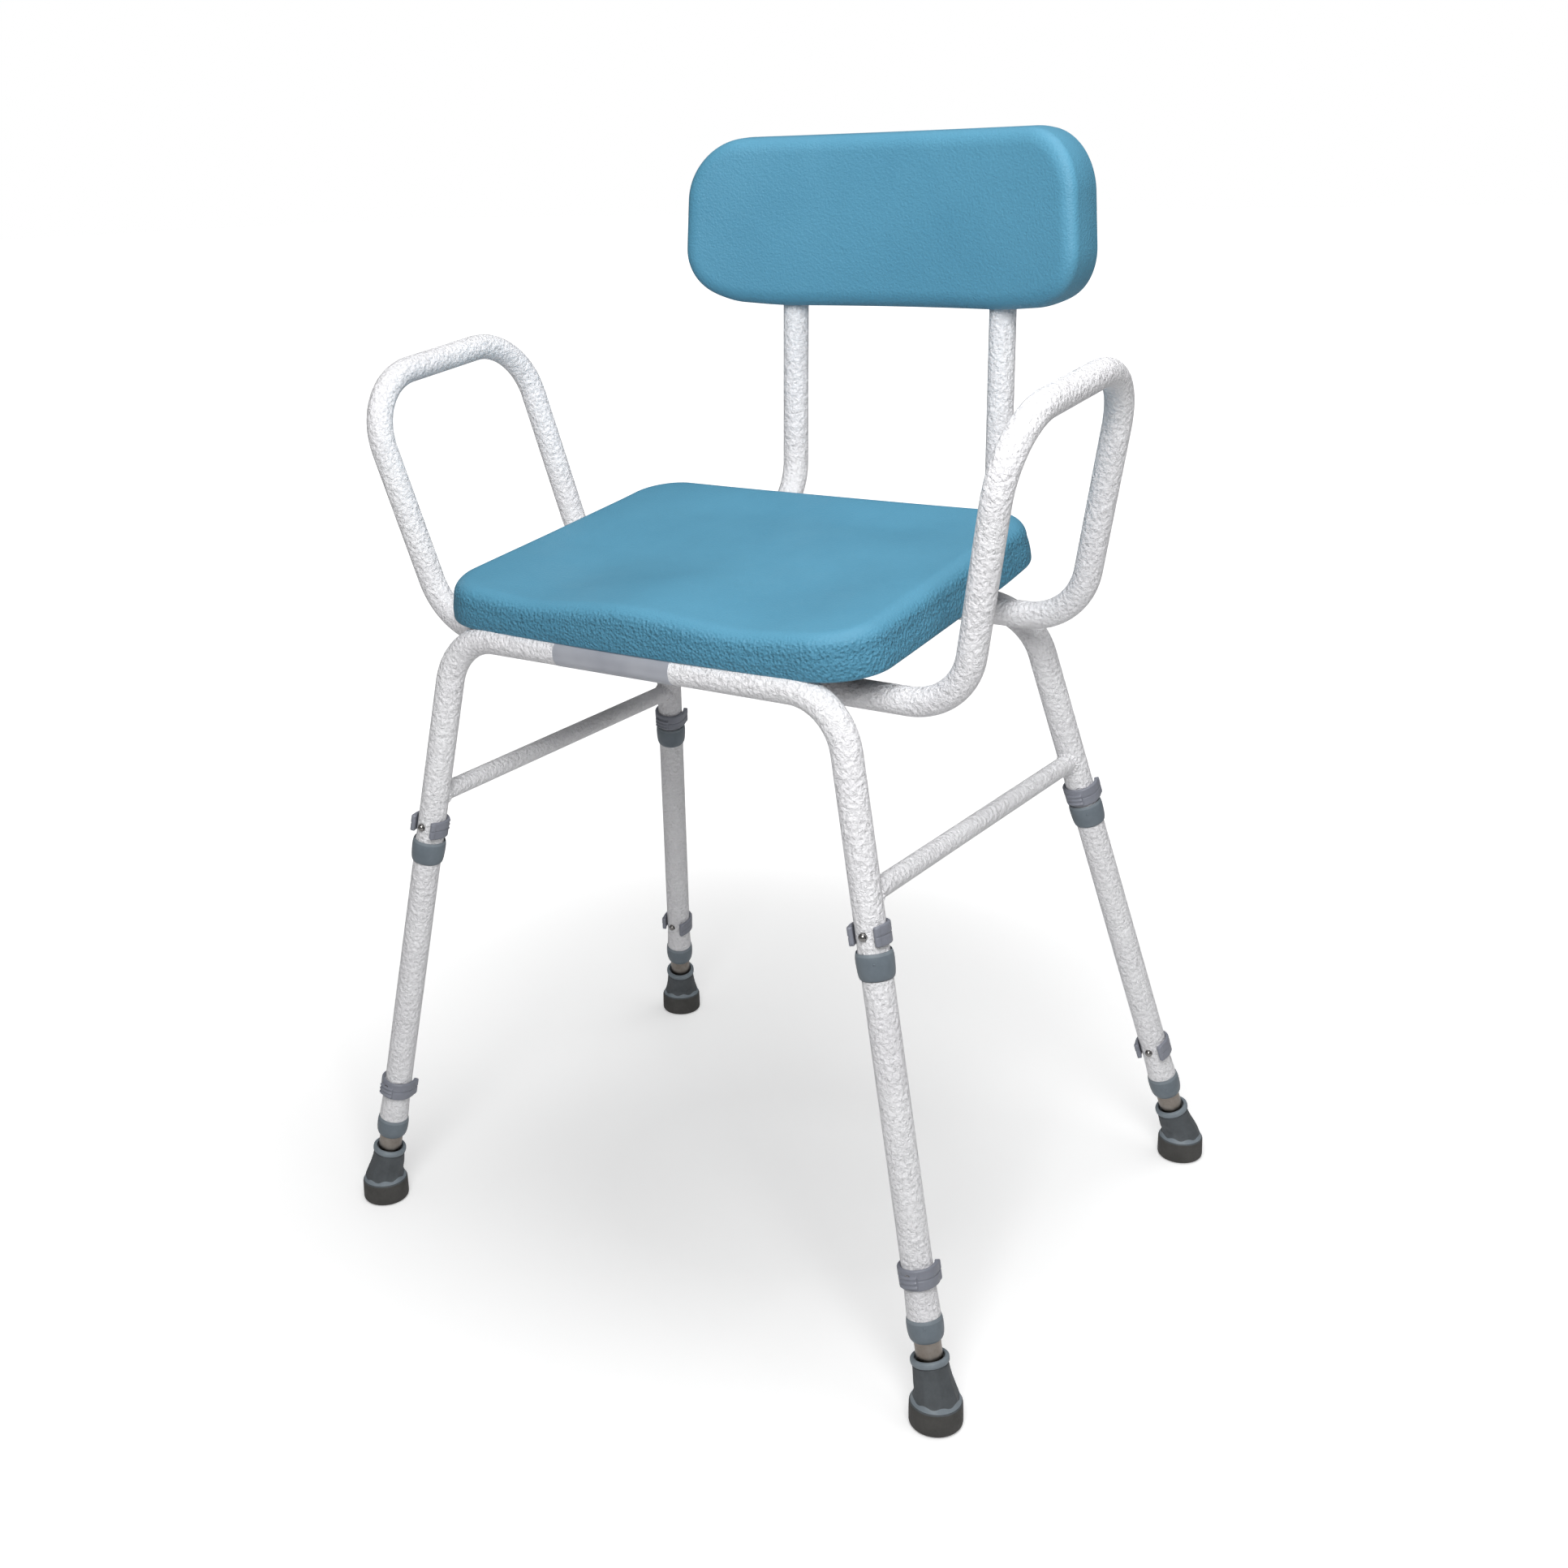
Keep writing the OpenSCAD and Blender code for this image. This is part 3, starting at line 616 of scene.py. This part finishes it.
def put_on_leg(name, i, t, turned, verts, faces, mat, body, cad_node=None, sharp=None):
    rot = np.column_stack([np.cross(leg_y(i), leg_dir(i)), leg_y(i), leg_dir(i)])
    v = np.array(verts, float)
    if turned:
        v = v * [-1, -1, 1]
    ob = add_mesh(name, v @ rot.T + leg_at(i, t), faces, mat, sharp=sharp)
    if cad_node:
        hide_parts(cad_node)
    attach(ob, body)
    return ob


def revolve(profile, n=72):
    """Open profile of (radius, height), turned about z."""
    a = np.linspace(0, TAU, n, endpoint=False)
    return stitch([np.column_stack([r * np.cos(a), r * np.sin(a), np.full(n, h)]) for r, h in profile])


# profiles of (radius, height), from the lower lip to the top edge
COLLAR_UP = (
    (9.9, 0.3), (11.3, 0), (11.75, 0.15), (12.3, 0.9), (12.75, 2.4), (13.1, 5), (13.35, 8.5),
    (13.5, 12.5), (13.45, 15.2), (13.2, 17.2), (12.9, 18.4), (12.6, 19.2), (12.42, 19.5), (12.38, 17.5),
)
COLLAR_LOW = (
    (9.62, 0.4), (9.8, 0), (10.3, 0.15), (11.1, 0.95), (11.8, 2.3), (12.4, 4.4), (12.8, 7.3),
    (13.0, 11), (12.98, 14.4), (12.75, 16.8), (12.5, 18.2), (12.2, 19.15), (12.0, 19.5), (11.98, 17.5),
)


def collar(name, i, t, profile, body, cad_node):
    v, f = revolve(profile)
    ob = put_on_leg(name, i, t, False, v, f, M_COLLAR, body, cad_node)
    # the top edge is painted paler as a painted highlight, where light catches the rim
    ob.data.materials.append(M_PALE_RIM_AND_HIGHLIGHT)
    n = 72
    for p in ob.data.polygons:
        if p.index // n >= 9 and p.index // n <= 11:
            p.material_index = 1
    # a small round mould mark
    levels = ((1, -0.2), (0.95, 0.25), (0.6, 0.4))
    mark = np.array([(0.9 * cos(a) * s, 0.9 * sin(a) * s, h) for s, h in levels for a in range(0, 360, 30)])
    v2, f2 = stitch([mark[k * 12 : k * 12 + 12] for k in range(3)], cap_end=True)
    r = profile[8][0]
    ang = -62 if i % 2 else -118
    d = np.array([cos(ang), sin(ang), 0])
    rot = frame_on(d, np.array([0, 0, 1.0]))
    placed = v2 @ rot.T + d * (r - 0.05) + [0, 0, 12.5]
    put_on_leg(name + "_mark", i, t, False, placed, f2, M_COLLAR, body)


# ------------------------------------------------------------------ ferrules
def ferrule(i, body, cad_node):
    n = 128
    a = np.linspace(0, TAU, n, endpoint=False)
    mid, d = base_mid(i), leg_dir(i)
    x_ax = np.cross(leg_y(i), d)
    rot_leg = np.column_stack([x_ax, leg_y(i), d])
    tip = np.cos(8 * a)
    rib = np.clip(0.5 + 0.5 * tip, 0, 1) ** 3

    def ring(q, r, lean, ribs, wave):
        """q is the height on the axis, lean how far the ring has turned from level to square to the leg."""
        rr = r + ribs * rib
        flat = np.column_stack([rr * np.cos(a), rr * np.sin(a), wave * tip])
        level = flat + [mid[0], mid[1], q]
        t = q / d[2]
        tilted = flat @ rot_leg.T + leg_at(i, t)
        w = lean * lean * (3 - 2 * lean)
        return level * (1 - w) + tilted * w

    # height, radius, lean, ribs, wave
    rows = [
        (0.0, 2.0, 0, 0, 0), (0.0, 15.6, 0, 0, 0), (0.15, 16.6, 0, 0, 0),
        (0.8, 17.8, 0, 0, 0), (2.0, 18.7, 0, 0, 0), (3.4, 19.0, 0, 0, 0),
        (8.0, 19.0, 0, 0, 0), (13.0, 18.9, 0, 0, 0), (16.8, 18.8, 0, 0, 0),
        (17.8, 18.6, 0, 0, 0), (18.5, 18.2, 0, 0, 0), (18.9, 17.9, 0, 0, 0),
        (20.4, 17.0, 0.05, 0, 0.5), (21.6, 16.3, 0.1, 0.1, 0.9), (21.9, 15.9, 0.12, 0.5, 0.9),
        (23.4, 15.3, 0.2, 0.75, 0.7), (26.0, 14.5, 0.35, 0.85, 0.3), (29.5, 13.9, 0.58, 0.8, 0),
        (33.5, 13.5, 0.82, 0.55, 0), (38.0, 13.1, 1, 0.35, 0), (42.5, 12.85, 1, 0.1, 0),
        (44.0, 12.8, 1, 0, 0), (44.3, 12.5, 1, 0, 0), (44.9, 12.5, 1, 0, 0),
        (45.2, 13.2, 1, 0, 0), (45.9, 13.7, 1, 0, 0), (47.4, 13.85, 1, 0, 0),
        (48.7, 13.7, 1, 0, 0), (49.5, 13.1, 1, 0, 0), (49.8, 12.2, 1, 0, 0),
        (49.6, 11.1, 1, 0, 0), (48.9, 10.7, 1, 0, 0), (47.3, 10.6, 1, 0, 0),
        (47.2, 9.7, 1, 0, 0), (48.1, 9.62, 1, 0, 0), (44.0, 9.6, 1, 0, 0),
    ]
    rings = [ring(*values) for values in rows]
    v, f = stitch(rings, cap_start=True)
    ob = add_mesh(LEGS[i] + "_ferrule", v, f, [M_RUBBER, M_PALE_RIM_AND_HIGHLIGHT, M_BASE], sharp=42)
    light = {11, 12, 24, 25, 26, 27, 28, 29, 30, 33, 34}
    for p in ob.data.polygons:
        k = p.index // n
        if k in light and p.index < (len(rows) - 1) * n:
            p.material_index = 1
        elif k < 9:
            p.material_index = 2
    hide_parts(cad_node)
    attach(ob, body)


# ------------------------------------------------------------------ weld beads at the rails
def weld(name, centre, rail_dir, leg_i, seed):
    rng = np.random.default_rng(seed)
    u = unit(rail_dir)
    rot = frame_on(u)
    ld = leg_dir(leg_i)
    n, m = 140, 12
    path = []
    for k in range(n):
        a = TAU * k / n
        off = rot @ np.array([RAIL_R * math.cos(a), RAIL_R * math.sin(a), 0])
        # distance along the rail at which its surface meets the leg's
        p = off - ld * np.dot(off, ld)
        w = u - ld * np.dot(u, ld)
        A, B, C = w @ w, 2 * p @ w, p @ p - TUBE_R * TUBE_R
        path.append(centre + off + u * ((-B + math.sqrt(max(B * B - 4 * A * C, 0))) / (2 * A)))
    path = np.array(path)
    tan = np.roll(path, -1, 0) - np.roll(path, 1, 0)
    phase = rng.uniform(0, TAU, 3)
    rings = []
    for k in range(n):
        t = unit(tan[k])
        out = unit(path[k] - centre)
        side_ = np.cross(t, out)
        out = np.cross(side_, t)
        r = 1.6 + 0.34 * math.sin(22 * TAU * k / n + phase[0])
        r = r + 0.18 * math.sin(5 * TAU * k / n + phase[1]) + 0.12 * math.sin(9 * TAU * k / n + phase[2])
        a = np.linspace(0, TAU, m, endpoint=False)
        rings.append(path[k] + np.outer(np.cos(a), out) * r + np.outer(np.sin(a), side_) * r * 1.25)
    rings.append(rings[0])
    v, f = stitch(rings)
    ob = add_mesh(name, v, f, M_WHITE)
    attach(ob, "frame")


seat_board()
seat_pad()
backrest()
for i, leg in enumerate(LEGS):
    front = i < 2
    up_t, low_t = UPPER_PIN[row(i)], LOWER_PIN[row(i)]
    clip(f"{leg}_upper_snap_clip", i, up_t, not front, f"uclip_{leg}", f"upper_clip_{leg}")
    low_clip_t = low_t - FRONT_CLIP_DROP * front
    clip(f"{leg}_lower_snap_clip", i, low_clip_t, front, f"lclip_{leg}", f"lower_clip_{leg}")
    up_collar_t = up_t - UPPER_COLLAR_DROP[row(i)]
    collar(f"{leg}_upper_collar_moulding", i, up_collar_t, COLLAR_UP, "frame", f"upper_collar_{leg}")
    low_profile = tuple((r, z * (1 - FRONT_COLLAR_CUT * front)) for r, z in COLLAR_LOW)
    low_collar_t = LOWER_COLLAR_T - FRONT_COLLAR_DROP * front
    low_name = f"{leg}_lower_collar_moulding"
    collar(low_name, i, low_collar_t, low_profile, f"mid_{leg}", f"lower_collar_{leg}")
    ferrule(i, f"foot_{leg}", f"ferrule_{leg}")
for i, tag in ((0, "left"), (1, "right")):
    a, b = leg_at(i, UPPER_PIN[0] + RAIL_ABOVE_PIN[0]), leg_at(i + 2, UPPER_PIN[1] + RAIL_ABOVE_PIN[1])
    weld(f"weld_front_{tag}", a, b - a, i, 3 + i)
    weld(f"weld_rear_{tag}", b, a - b, i + 2, 7 + i)

SLOT_MATS = {
    "white_coat": M_WHITE,
    "zinc": M_ZINC,
    "steel": M_STEEL,
    "clip_grey": M_CLIP,
    "collar_grey": M_COLLAR,
    "rubber": M_RUBBER,
    "label": M_LABEL,
    "board": M_BOARD,
    "pad": M_PAD,
    "black_plastic": M_BLACK,
}
for entry in frame["record"]["subparts"]:
    ob = NODES[entry["node"]]
    ob.data.materials.clear()
    ob.data.materials.append(SLOT_MATS[entry["material_slot"]])

# ------------------------------------------------------------------ floor, light, camera
scene = bpy.context.scene
world = bpy.data.worlds.new("studio")
scene.world = world
world.use_nodes = True
wt = world.node_tree
bg = wt.nodes["Background"]
bg.inputs["Color"].default_value = (1, 1, 1, 1)
# a plain studio: a faint fill, paler towards the lamps, and white where the camera sees it
path = wt.nodes.new("ShaderNodeLightPath")
ray = wt.nodes.new("ShaderNodeTexCoord").outputs["Generated"]
lit = wt.nodes.new("ShaderNodeVectorMath")
lit.operation = "DOT_PRODUCT"
lit.inputs[1].default_value = (0.5, -0.6, 0.62)
link(wt, ray, lit.inputs[0])
around = span(wt, lit.outputs["Value"], -0.6, 0.9, 0.1, 0.3)
seen = math_node(wt, "MAXIMUM", path.outputs["Is Camera Ray"], path.outputs["Is Transmission Ray"])
link(wt, math_node(wt, "MAXIMUM", seen, around), bg.inputs["Strength"])


def floor():
    n = 30.0
    me = bpy.data.meshes.new("floor")
    z = -0.0002
    me.from_pydata([(-n, -n, z), (n, -n, z), (n, n, z), (-n, n, z)], [], [(0, 1, 2, 3)])
    o = bpy.data.objects.new("floor", me)
    scene.collection.objects.link(o)
    m, t, b = material("floor_white", (0.9, 0.9, 0.9), 0.8, spec=0.0)
    # a painted glow, for the camera alone: weak near the stool, painting the floor darker there as painted
    # shade, and paling it to white away from the stool
    far = t.nodes.new("ShaderNodeVectorMath")
    far.operation = "LENGTH"
    link(t, coords(t), far.inputs[0])
    b.inputs["Emission Color"].default_value = (1, 1, 1, 1)
    eye = t.nodes.new("ShaderNodeLightPath").outputs["Is Camera Ray"]
    near = span(t, far.outputs["Value"], 0.15, 0.9, 0.2, 0.7)
    painted_floor_glow = math_node(t, "ADD", near, span(t, far.outputs["Value"], 0.6, 3.0, 0.0, 0.36))
    link(t, math_node(t, "MULTIPLY", painted_floor_glow, eye), b.inputs["Emission Strength"])
    me.materials.append(m)
    # the floor stays under the lowest foot when the legs are drawn out
    for leg in LEGS:
        e = bpy.data.objects.new("foot_level_" + leg, None)
        scene.collection.objects.link(e)
        e.parent = frame["bodies"]["foot_" + leg]
        c = o.constraints.new("FLOOR")
        c.target = e
        c.floor_location = "FLOOR_NEGATIVE_Z"


floor()


def softbox(name, loc, target, size, power, spread=180):
    d = bpy.data.lights.new(name, "AREA")
    d.energy = power
    d.size = size
    d.spread = math.radians(spread)
    o = bpy.data.objects.new(name, d)
    scene.collection.objects.link(o)
    o.location = loc
    o.rotation_mode = "QUATERNION"
    o.rotation_quaternion = (Vector(target) - Vector(loc)).to_track_quat("-Z", "Y")


softbox("key", (0.7, -1.05, 1.5), (0.12, 0.05, 0.98), 0.9, 14.5, 130)
softbox("top", (0.3, 0.1, 1.9), (0.1, 0, 0.5), 1.0, 9)

# the camera stands at the front right: place in mm, angles in degrees, lens in mm
CAMERA_AT = (797.250, -1181.382, 842.157)
AZIMUTH, ELEVATION, ROLL = 36.0800, 15.1563, -1.6368
LENS, SENSOR = 42.0749, 36.0
SHIFT_X, SHIFT_Y = 0.046169, -0.073252
behind = np.array([sin(AZIMUTH) * cos(ELEVATION), -cos(AZIMUTH) * cos(ELEVATION), sin(ELEVATION)])
level = np.array([cos(AZIMUTH), sin(AZIMUTH), 0.0])
upward = np.cross(behind, level)
view_x = cos(ROLL) * level + sin(ROLL) * upward
view_y = -sin(ROLL) * level + cos(ROLL) * upward
cam = bpy.data.cameras.new("camera")
cam.sensor_width = SENSOR
cam.lens = LENS
cam.shift_x, cam.shift_y = SHIFT_X, SHIFT_Y
cam.clip_start, cam.clip_end = 0.05, 50
cam_ob = bpy.data.objects.new("camera", cam)
scene.collection.objects.link(cam_ob)
rows = [(*[float(v[k]) for v in (view_x, view_y, behind)], CAMERA_AT[k] * MM) for k in range(3)]
cam_ob.matrix_world = Matrix(rows + [(0, 0, 0, 1)])
scene.camera = cam_ob
scene.view_settings.view_transform = "Standard"
